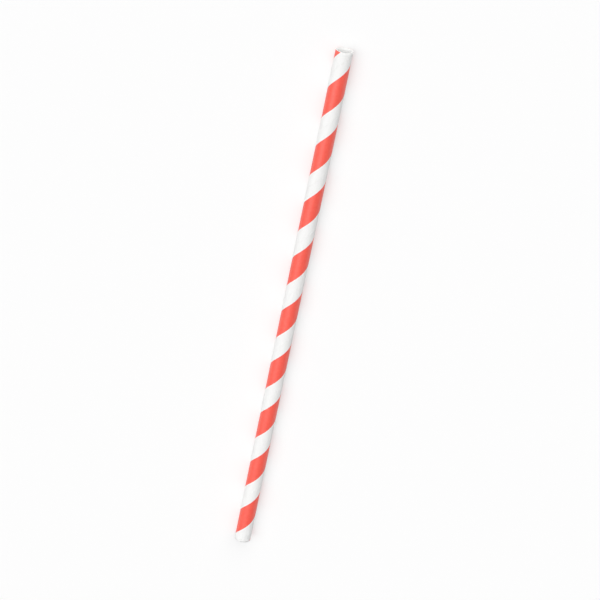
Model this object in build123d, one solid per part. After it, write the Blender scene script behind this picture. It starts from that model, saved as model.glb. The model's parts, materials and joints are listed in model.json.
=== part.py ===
# Paper drinking straw: a tube wound from paper strips, which meet in one spiral seam outside and one inside.
# It lies on its side along X, on the plane Z = 0, with the middle of its length at X = 0.

import os
from math import atan, ceil, cos, degrees, floor, pi, radians, sin

from build123d import *
from build123d.topology import SkipClean

# Tube, in millimetres
outside_diameter = 6.0
length = 197.0
ply_thickness = 0.15
ply_count = 3

# Winding: every ply goes once round in this length, and leaves this gap where its own edges meet
winding_pitch = 21.3
butt_gap = 0.12

# Place along X where the outer seam crosses the top line, and how far on the inner seam does so
outer_seam_at = 9.4
seam_stagger = winding_pitch / 2

# The wall's faces are quarters of a round. They join at this angle from the top, so the straw lies on the middle
# of one, and no face winds round it more than once
face_join = 45

# A seam is cut by bars one turn long that start at such a join and reach this far past the wall's surface
overrun = 0.5
points_per_turn = 8

radius = outside_diameter / 2
bore_radius = radius - ply_count * ply_thickness


def strip_angle(at_radius):
    """Angle between the wound strips and the axis of the tube, in radians."""
    return atan(2 * pi * at_radius / winding_pitch)


def ring(at_radius):
    """Circle round Z in four arcs."""
    return Wire([CenterArc((0, 0), at_radius, face_join + 90 * quarter, 90).edge() for quarter in range(4)])


def wall():
    """Plain tube round Z, with the middle of its length at Z = 0."""
    section = Pos(0, 0, -length / 2) * Face(ring(radius), [ring(bore_radius)])
    return Solid.extrude(section, Vector(0, 0, length))


def helix(at_radius, crossing, first_angle):
    """One right-handed turn from an angle in degrees. At angle 0 the winding is at Z = crossing."""
    angles = [first_angle + 360 * step / points_per_turn for step in range(points_per_turn + 1)]
    turned = [(at_radius * cos(radians(angle)), at_radius * sin(radians(angle))) for angle in angles]
    points = [(x, y, crossing + winding_pitch * angle / 360) for (x, y), angle in zip(turned, angles)]
    first_x, first_y = turned[0]
    direction = (-first_y, first_x, winding_pitch / (2 * pi))
    return Spline(points, tangents=[direction, direction]).edge()


def wound_bar(crossing, axial_width, inner_radius, outer_radius, first_angle):
    """Bar that winds once round Z, with a rectangular section in the plane through the axis."""
    low_in, high_in, high_out, low_out = [
        helix(at_radius, crossing + side * axial_width / 2, first_angle)
        for at_radius, side in ((inner_radius, -1), (inner_radius, 1), (outer_radius, 1), (outer_radius, -1))
    ]
    edges = [low_in, high_in, high_out, low_out]
    sides = [Face.make_surface_from_curves(one, other) for one, other in zip(edges, edges[1:] + edges[:1])]
    ends = [Face(Wire.make_polygon([edge @ end for edge in edges])) for end in (0, 1)]
    return Solid(Shell(sides + ends))


def seam_cutters(crossing, inner_radius, outer_radius, at_radius):
    """Bars that together cut one butt seam from end to end of the tube."""
    axial_width = butt_gap / sin(strip_angle(at_radius))
    reach = length / 2 + axial_width
    first_turn = floor((-reach - crossing) / winding_pitch - face_join / 360)
    last_turn = ceil((reach - crossing) / winding_pitch - face_join / 360)
    return [
        wound_bar(crossing, axial_width, inner_radius, outer_radius, face_join + 360 * turn)
        for turn in range(first_turn, last_turn)
    ]


def straw():
    """Open tube with both seams one ply deep, laid down: its axis along X, its angle 0 on top."""
    outer_seam = seam_cutters(outer_seam_at, radius - ply_thickness, radius + overrun, radius)
    inner_seam = seam_cutters(
        outer_seam_at + seam_stagger, bore_radius - overrun, bore_radius + ply_thickness, bore_radius
    )
    with SkipClean():
        tube = wall().cut(*outer_seam, *inner_seam)
    return Plane(origin=(0, 0, radius), x_dir=(0, 0, 1), z_dir=(1, 0, 0)) * tube.solid()


os.makedirs("parts", exist_ok=True)
export_step(straw(), "parts/straw.step")
angle = strip_angle(radius)
strip_width = 2 * pi * radius * cos(angle) - butt_gap
print(f"outer strip {strip_width:.1f} mm wide, {degrees(angle):.1f} degrees from the axis")
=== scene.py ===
# Paper drinking straw, wound from strips and printed with one red stripe. It lies on its side along X.
import json
from math import atan, cos, pi, radians, sin

import bpy
import numpy as np
from mathutils import Matrix, Vector


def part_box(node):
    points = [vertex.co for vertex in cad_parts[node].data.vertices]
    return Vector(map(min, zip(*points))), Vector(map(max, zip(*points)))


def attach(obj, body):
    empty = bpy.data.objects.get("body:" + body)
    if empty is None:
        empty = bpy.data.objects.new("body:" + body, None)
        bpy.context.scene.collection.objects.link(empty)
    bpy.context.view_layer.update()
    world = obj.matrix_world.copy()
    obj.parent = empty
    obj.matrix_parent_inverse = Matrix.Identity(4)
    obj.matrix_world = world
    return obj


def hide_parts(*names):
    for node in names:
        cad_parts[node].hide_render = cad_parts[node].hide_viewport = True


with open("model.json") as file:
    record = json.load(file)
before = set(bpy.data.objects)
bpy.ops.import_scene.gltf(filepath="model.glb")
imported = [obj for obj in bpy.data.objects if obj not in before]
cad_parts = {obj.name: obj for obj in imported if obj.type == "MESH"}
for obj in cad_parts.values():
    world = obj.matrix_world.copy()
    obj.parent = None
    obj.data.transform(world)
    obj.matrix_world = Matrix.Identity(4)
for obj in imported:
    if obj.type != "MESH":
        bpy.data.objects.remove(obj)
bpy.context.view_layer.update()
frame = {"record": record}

mm = 0.001
print("frame loaded")


# Lengths are in millimetres. Those of the tube come from the frame.
strawLow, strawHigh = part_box("straw")
boreMount = next(mount for mount in frame["record"]["mounts"] if mount["name"] == "bore")
straw = {
    "radius": min(strawHigh[1], -strawLow[1]) / mm,
    "axisHeight": (strawLow[2] + strawHigh[2]) / 2 / mm,
    "boreRadius": boreMount["dims"]["r_mm"],
    "length": (strawHigh[0] - strawLow[0]) / mm,
    "plies": 3,
    "pitch": 21.3,  # every ply goes once round in this length
    "seamAt": 9.4,  # where the outer seam crosses the top line
    "seamGap": 0.12,
    "gapMean": 0.85,  # the gap narrows and widens along the seam, in parts of seamGap
    "gapSpread": 0.45,
    "gapWaveLength": 23.0,
    "seamSoftness": 0.02,
    "lipHeight": 0.012,  # the strip's edges stand up a little beside the seam
    "lipReach": 0.25,
    "middleSeamTurn": 0.27,  # part of a turn from the outer seam to the middle ply's
    "middleSeamDip": 0.008,
    "middleSeamReach": 0.45,
    "innerSeamTurn": 0.5,
    "rowStep": 0.6,
    "boreRowStep": 1.2,
    "columns": 72,
    "seamColumns": [0.02, 0.04, 0.055, 0.07, 0.09, 0.13, 0.2, 0.32],  # places on either side of a seam
    "rimRowsPerPly": 5,
    "plyDip": 0.02,  # how far the glue lines lie below the cut edge of each ply
    "rimWave": 0.03,  # the cut isn't quite flat
    "rimWaveLength": 9.0,
    "rimBlend": 0.8,
}
straw["ply"] = (straw["radius"] - straw["boreRadius"]) / straw["plies"]
straw["stripAngle"] = atan(2 * pi * straw["radius"] / straw["pitch"])
straw["stripWidth"] = 2 * pi * straw["radius"] * cos(straw["stripAngle"])


def softStep(low, high, value):
    # 0 below low, 1 above high, and 3t^2 - 2t^3 between them
    part = np.clip((value - low) / (high - low), 0, 1)
    return part * part * (3 - 2 * part)


def slowWave(value, length, start):
    # a smooth irregular wave between -1 and 1: three sines whose lengths have no common measure
    return (
        np.sin(2 * pi * value / length + start)
        + 0.6 * np.sin(2 * pi * value / (length * 0.447) + 2.3 * start)
        + 0.4 * np.sin(2 * pi * value / (length * 0.173) + 4.1 * start)
    ) / 2


def windingColumns(s):
    # even steps round the tube, with close ones beside the outer and the inner seam
    across = s["stripWidth"] / (2 * pi)  # width across the strip for one radian
    near = np.array(s["seamColumns"]) / across
    even = np.arange(s["columns"]) * 2 * pi / s["columns"]
    seams = [0, 2 * pi * s["innerSeamTurn"]]
    clear = [np.abs((even - seam + pi) % (2 * pi) - pi) > near[-1] * 1.2 for seam in seams]
    parts = [even[clear[0] & clear[1]]] + [seam + np.concatenate([-near, [0], near]) for seam in seams]
    return np.sort(np.concatenate(parts) % (2 * pi))


def sectionRows(s):
    # closed path of the wall's section: along the outside, over a rim, back through the bore, over a rim
    half = s["length"] / 2
    outside = np.linspace(-half, half, round(s["length"] / s["rowStep"]) + 1)
    inside = np.linspace(half, -half, round(s["length"] / s["boreRowStep"]) + 1)
    rimCount = s["plies"] * s["rimRowsPerPly"]
    rim = np.linspace(s["radius"], s["boreRadius"], rimCount + 1)[1:-1]
    x = np.concatenate([outside, np.full(rim.size, half), inside, np.full(rim.size, -half)])
    r = np.concatenate([
        np.full(outside.size, s["radius"]), rim, np.full(inside.size, s["boreRadius"]), rim[::-1]
    ])
    zone = np.concatenate([
        np.zeros(outside.size), np.full(rim.size, 1), np.full(inside.size, 2), np.full(rim.size, 3)
    ]).astype(int)
    return x, r, zone


def strawSurface(s):
    # A point is (x, -r sin a, axis + r cos a). The angle a = p + 2 pi (x - seamAt) / pitch follows the winding,
    # so a column of constant p runs along the strips. The radius r is the wall's, less what seams take off.
    x, r, zone = sectionRows(s)
    phase = windingColumns(s)
    rowX, p = np.meshgrid(x, phase, indexing="ij")
    rowR = np.repeat(r[:, None], phase.size, axis=1)
    angle = p + 2 * pi * (rowX - s["seamAt"]) / s["pitch"]
    across = s["stripWidth"] / (2 * pi)
    along = rowX / cos(s["stripAngle"])

    def fromSeam(turn):
        return np.abs((p - 2 * pi * turn + pi) % (2 * pi) - pi) * across

    def groove(turn, start):
        wave = s["gapSpread"] * slowWave(along, s["gapWaveLength"], start)
        half = s["seamGap"] / 2 * (s["gapMean"] + wave)
        return 1 - softStep(half - s["seamSoftness"], half + s["seamSoftness"], fromSeam(turn))

    def bulge(turn, reach):
        return np.exp(-((fromSeam(turn) / reach) ** 2))

    outer = s["lipHeight"] * (bulge(0, s["lipReach"]) - 1) - s["ply"] * groove(0, 0.4)
    outer -= s["middleSeamDip"] * bulge(s["middleSeamTurn"], s["middleSeamReach"])
    inner = s["ply"] * groove(s["innerSeamTurn"], 1.7)
    depth = (s["radius"] - rowR) / (s["radius"] - s["boreRadius"])
    rowR = rowR + np.where(zone[:, None] == 2, inner, outer * (1 - depth) ** 3 + inner * depth ** 3)

    half = s["length"] / 2
    toEnd = half - np.abs(rowX)
    wave = s["rimWave"] * (0.5 + 0.5 * slowWave(angle * s["radius"], s["rimWaveLength"], 0.9))
    dip = s["plyDip"] * (0.5 + 0.5 * np.cos(2 * pi * depth * s["plies"]))
    shift = np.sign(rowX) * (wave * np.exp(-toEnd / s["rimBlend"]) + dip * (toEnd < 1e-6))
    points = np.stack([rowX - shift, -rowR * np.sin(angle), s["axisHeight"] + rowR * np.cos(angle)], axis=-1)
    return points * mm, p, rowX, zone


def strawMesh(s, name, materials):
    points, p, rowX, zone = strawSurface(s)
    rows, columns = p.shape
    index = np.arange(rows * columns).reshape(rows, columns)
    nextRow = np.roll(index, -1, axis=0)
    nextColumn = np.roll(index, -1, axis=1)
    corner = np.roll(nextRow, -1, axis=1)
    quads = np.stack([index, nextRow, corner, nextColumn], axis=-1).reshape(-1, 4)

    mesh = bpy.data.meshes.new(name)
    mesh.vertices.add(rows * columns)
    mesh.vertices.foreach_set("co", points.reshape(-1))
    mesh.loops.add(quads.size)
    mesh.loops.foreach_set("vertex_index", quads.reshape(-1))
    mesh.polygons.add(len(quads))
    mesh.polygons.foreach_set("loop_start", np.arange(0, quads.size, 4))
    mesh.polygons.foreach_set("loop_total", np.full(len(quads), 4))

    # A quad belongs to the outside or the bore where both of its rows do, and else to a rim
    following = np.roll(zone, -1)
    kind = np.where((zone == 0) & (following == 0), 0, np.where((zone == 2) & (following == 2), 1, 2))
    mesh.polygons.foreach_set("material_index", np.repeat(kind, columns))
    smooth = np.repeat(kind < 2, columns)
    mesh.polygons.foreach_set("use_smooth", smooth)

    # Map in millimetres: across the strip from its seam, and along the strip
    step = (np.roll(p, -1, axis=1) - p) % (2 * pi)
    start = np.where(kind[:, None] == 1, (p - 2 * pi * s["innerSeamTurn"]) % (2 * pi), p)
    rightPhase = start + step
    rowBelow = np.roll(rowX, -1, axis=0)
    corners = [(start, rowX), (start, rowBelow), (rightPhase, rowBelow), (rightPhase, rowX)]
    turned = s["radius"] * sin(s["stripAngle"])
    across = s["stripWidth"] / (2 * pi)
    uv = np.stack([
        np.stack([q * across, x / cos(s["stripAngle"]) + q * turned], axis=-1) for q, x in corners
    ], axis=2)
    mesh.uv_layers.new(name="windingMap").data.foreach_set("uv", uv.reshape(-1))
    for material in materials:
        mesh.materials.append(material)
    mesh.update(calc_edges=True)
    mesh.validate()
    piece = bpy.data.objects.new(name, mesh)
    bpy.context.collection.objects.link(piece)
    return piece


def newTree(name):
    material = bpy.data.materials.new(name)
    material.use_nodes = True
    material.node_tree.nodes.clear()
    return material, material.node_tree


def addNode(tree, kind, inputs=None, **settings):
    # inputs maps a socket's name or number to a value or to another node's output
    node = tree.nodes.new("ShaderNode" + kind)
    for key, value in settings.items():
        setattr(node, key, value)
    for key, value in (inputs or {}).items():
        if isinstance(value, bpy.types.NodeSocket):
            tree.links.new(value, node.inputs[key])
        else:
            node.inputs[key].default_value = value
    return node


def srgb(red, green, blue):
    # colour as a shader takes it, from the 0 to 255 values of a paint chart
    parts = np.array([red, green, blue]) / 255
    linear = np.where(parts <= 0.04045, parts / 12.92, ((parts + 0.055) / 1.055) ** 2.4)
    return (*linear.tolist(), 1.0)


def calculate(tree, operation, *values):
    return addNode(tree, "Math", dict(enumerate(values)), operation=operation).outputs[0]


def mixColours(tree, factor, first, second):
    node = addNode(tree, "Mix", {0: factor, 6: first, 7: second}, data_type="RGBA")
    return node.outputs[2]


def scaledNoise(tree, vector, scales, detail=3.0, roughness=0.55):
    # noise whose grains measure 1/scale millimetres along each axis of the map
    mapping = addNode(tree, "Mapping", {"Vector": vector, "Scale": scales})
    noise = addNode(tree, "TexNoise", {
        "Vector": mapping.outputs[0], "Scale": 1.0, "Detail": detail, "Roughness": roughness
    })
    return noise.outputs[0]


def rangeOf(tree, value, low, high, outLow=0.0, outHigh=1.0):
    return addNode(tree, "MapRange", {
        "Value": value, "From Min": low, "From Max": high, "To Min": outLow, "To Max": outHigh
    }, interpolation_type="SMOOTHSTEP").outputs[0]


stripe = {
    "centre": 0.4977,  # parts of the strip's width, from the seam
    "share": 0.5186,
    "edgeBlur": 0.05,  # millimetres
    "edgeWander": 0.09,
    "ink": srgb(250, 87, 71),
    "inkThin": srgb(252, 106, 86),
    "paper": srgb(242, 242, 241),
    "paperShade": srgb(237, 237, 236),
    "edgeGrain": (3.0, 1.2, 1.0),  # grains per millimetre across and along the strip
    "mottleGrain": (1.3, 0.7, 1.0),
    "fibreGrain": (5.0, 1.6, 1.0),
    "bumpHeight": 0.012,
    "paperRoughness": 0.9,
    "inkRoughness": 0.46,
    "specular": 0.9,
}


def printedPaper(s, look):
    material, tree = newTree("printedPaper")
    uv = addNode(tree, "UVMap", uv_map="windingMap").outputs[0]
    across = addNode(tree, "SeparateXYZ", {0: uv}).outputs[0]
    wander = scaledNoise(tree, uv, look["edgeGrain"], detail=4.0)
    shifted = calculate(tree, "MULTIPLY_ADD", wander, look["edgeWander"] * 2, -look["edgeWander"])
    away = calculate(tree, "ABSOLUTE", calculate(tree, "SUBTRACT", across, look["centre"] * s["stripWidth"]))
    half = look["share"] * s["stripWidth"] / 2
    edge = calculate(tree, "ADD", away, shifted)
    inked = rangeOf(tree, edge, half + look["edgeBlur"], half - look["edgeBlur"])
    mottle = scaledNoise(tree, uv, look["mottleGrain"], detail=5.0)
    fibres = scaledNoise(tree, uv, look["fibreGrain"], detail=4.0, roughness=0.65)
    speck = calculate(tree, "MULTIPLY", rangeOf(tree, mottle, 0.3, 0.75), rangeOf(tree, fibres, 0.3, 0.7))
    ink = mixColours(tree, speck, look["ink"], look["inkThin"])
    paper = mixColours(tree, rangeOf(tree, fibres, 0.35, 0.8), look["paper"], look["paperShade"])
    colour = mixColours(tree, inked, paper, ink)
    rough = rangeOf(tree, inked, 0.0, 1.0, look["paperRoughness"], look["inkRoughness"])
    bump = addNode(tree, "Bump", {
        "Height": fibres, "Strength": 0.6, "Distance": look["bumpHeight"] * mm
    })
    shader = addNode(tree, "BsdfPrincipled", {
        "Base Color": colour,
        "Roughness": rough,
        "Normal": bump.outputs[0],
        "Specular IOR Level": look["specular"],
    })
    addNode(tree, "OutputMaterial", {0: shader.outputs[0]})
    return material


bore = {
    "paper": srgb(249, 249, 248),
    "shade": srgb(244, 244, 243),
    "fibreGrain": (4.0, 1.3, 1.0),
    "bumpHeight": 0.015,
    "roughness": 0.8,
    "specular": 0.3,
}


def borePaper(look):
    material, tree = newTree("borePaper")
    uv = addNode(tree, "UVMap", uv_map="windingMap").outputs[0]
    fibres = scaledNoise(tree, uv, look["fibreGrain"], detail=4.0, roughness=0.65)
    colour = mixColours(tree, rangeOf(tree, fibres, 0.3, 0.8), look["paper"], look["shade"])
    bump = addNode(tree, "Bump", {
        "Height": fibres, "Strength": 0.6, "Distance": look["bumpHeight"] * mm
    })
    shader = addNode(tree, "BsdfPrincipled", {
        "Base Color": colour,
        "Roughness": look["roughness"],
        "Normal": bump.outputs[0],
        "Specular IOR Level": look["specular"],
    })
    addNode(tree, "OutputMaterial", {0: shader.outputs[0]})
    return material


cut = {
    "paper": srgb(245, 245, 243),
    "glueLine": srgb(226, 224, 219),
    "lineEdge": (0.26, 0.1),  # parts of a ply from the glue, where its line begins and is full
    "lineFray": 0.2,
    "frayGrain": 9.0,  # grains per millimetre
    "roughness": 0.9,
    "specular": 0.2,
}


def cutPaper(s, look):
    # the glue lines between the plies are rings round the tube's axis
    material, tree = newTree("cutPaper")
    place = addNode(tree, "TexCoord").outputs["Object"]
    fromAxis = addNode(tree, "VectorMath", {0: place, 1: (0, 0, s["axisHeight"] * mm)}, operation="SUBTRACT")
    flat = addNode(tree, "VectorMath", {0: fromAxis.outputs[0], 1: (0, 1 / mm, 1 / mm)}, operation="MULTIPLY")
    radius = addNode(tree, "VectorMath", {0: flat.outputs[0]}, operation="LENGTH").outputs["Value"]
    plies = calculate(tree, "DIVIDE", calculate(tree, "SUBTRACT", s["radius"], radius), s["ply"])
    toLine = calculate(tree, "ABSOLUTE", calculate(tree, "SUBTRACT", plies, calculate(tree, "ROUND", plies)))
    fray = scaledNoise(tree, place, (look["frayGrain"] / mm,) * 3, detail=4.0)
    line = rangeOf(tree, calculate(tree, "MULTIPLY_ADD", fray, look["lineFray"], toLine), *look["lineEdge"])
    colour = mixColours(tree, line, look["paper"], look["glueLine"])
    shader = addNode(tree, "BsdfPrincipled", {
        "Base Color": colour, "Roughness": look["roughness"], "Specular IOR Level": look["specular"]
    })
    addNode(tree, "OutputMaterial", {0: shader.outputs[0]})
    return material


papers = [printedPaper(straw, stripe), borePaper(bore), cutPaper(straw, cut)]
paperTube = strawMesh(straw, "paperTube", papers)
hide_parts("straw")
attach(paperTube, "root")
print("straw made:", len(paperTube.data.polygons), "faces")


floor = {
    "size": 6.0,  # metres
    "colour": srgb(240, 240, 240),
    "seenColour": srgb(188, 188, 188),
    "seenGlow": 0.45,
}


def floorMaterial(look):
    # lights the straw as plain matt card, and looks a little paler to the camera
    material, tree = newTree("floorCard")
    path = addNode(tree, "LightPath")
    seen = calculate(tree, "MAXIMUM", path.outputs["Is Camera Ray"], path.outputs["Is Glossy Ray"])
    matt = addNode(tree, "BsdfDiffuse", {"Color": mixColours(tree, seen, look["colour"], look["seenColour"])})
    strength = calculate(tree, "MULTIPLY", seen, look["seenGlow"])
    glow = addNode(tree, "Emission", {"Color": (1, 1, 1, 1), "Strength": strength})
    both = addNode(tree, "AddShader", {0: matt.outputs[0], 1: glow.outputs[0]})
    addNode(tree, "OutputMaterial", {0: both.outputs[0]})
    return material


def makeFloor(look):
    half = look["size"] / 2
    mesh = bpy.data.meshes.new("floor")
    corners = [(-half, -half, 0), (half, -half, 0), (half, half, 0), (-half, half, 0)]
    mesh.from_pydata(corners, [], [(0, 1, 2, 3)])
    mesh.materials.append(floorMaterial(look))
    plane = bpy.data.objects.new("floor", mesh)
    bpy.context.collection.objects.link(plane)
    return plane


makeFloor(floor)
print("floor made")


light = {
    "lamps": [  # name, direction towards it, strength of which 1 lights white paper fully, width in degrees
        ("key", (0.05, 0.42, 0.9), 0.54, 60),
        ("endLight", (0.75, -0.1, 0.65), 0.45, 60),
    ],
    "sky": 0.28,
}


def makeLight(look):
    # two wide soft lamps, one of them off the open end, and an even sky that the camera sees as white
    for name, direction, strength, width in look["lamps"]:
        lamp = bpy.data.lights.new(name, "SUN")
        lamp.energy = strength * pi
        lamp.angle = radians(width)
        placed = bpy.data.objects.new(name, lamp)
        placed.rotation_euler = Vector(direction).to_track_quat("Z", "Y").to_euler()
        bpy.context.collection.objects.link(placed)
    world = bpy.data.worlds.new("studio")
    world.use_nodes = True
    tree = world.node_tree
    tree.nodes.clear()
    path = addNode(tree, "LightPath")
    seen = calculate(tree, "MAXIMUM", path.outputs["Is Camera Ray"], path.outputs["Is Transmission Ray"])
    strength = calculate(tree, "MULTIPLY_ADD", seen, 1 - look["sky"], look["sky"])
    back = addNode(tree, "Background", {"Color": (1, 1, 1, 1), "Strength": strength})
    addNode(tree, "OutputWorld", {0: back.outputs[0]})
    bpy.context.scene.world = world


makeLight(light)
print("light made")


# Millimetres from the point where the straw's middle touches the floor
view = {
    "place": (285.0, 0.25, 562.0),
    "aim": (5.14, -2.66, 3.0),
    "roll": 168.724,  # degrees
    "lens": 106.3,
    "sensor": 36.0,
}


def makeCamera(look):
    place = Vector(look["place"]) * mm
    forward = (Vector(look["aim"]) * mm - place).normalized()
    level = forward.cross(Vector((0, 0, 1))).normalized()
    right = Matrix.Rotation(radians(look["roll"]), 3, forward) @ level
    up = right.cross(forward)
    data = bpy.data.cameras.new("camera")
    data.lens = look["lens"]
    data.sensor_width = look["sensor"]
    data.clip_start = 0.01
    camera = bpy.data.objects.new("camera", data)
    turn = Matrix((right, up, -forward)).transposed().to_4x4()
    camera.matrix_world = Matrix.Translation(place) @ turn
    bpy.context.collection.objects.link(camera)
    bpy.context.scene.camera = camera
    print("camera right", [round(value, 4) for value in right], "up", [round(value, 4) for value in up])


makeCamera(view)
bpy.context.scene.view_settings.view_transform = "Standard"
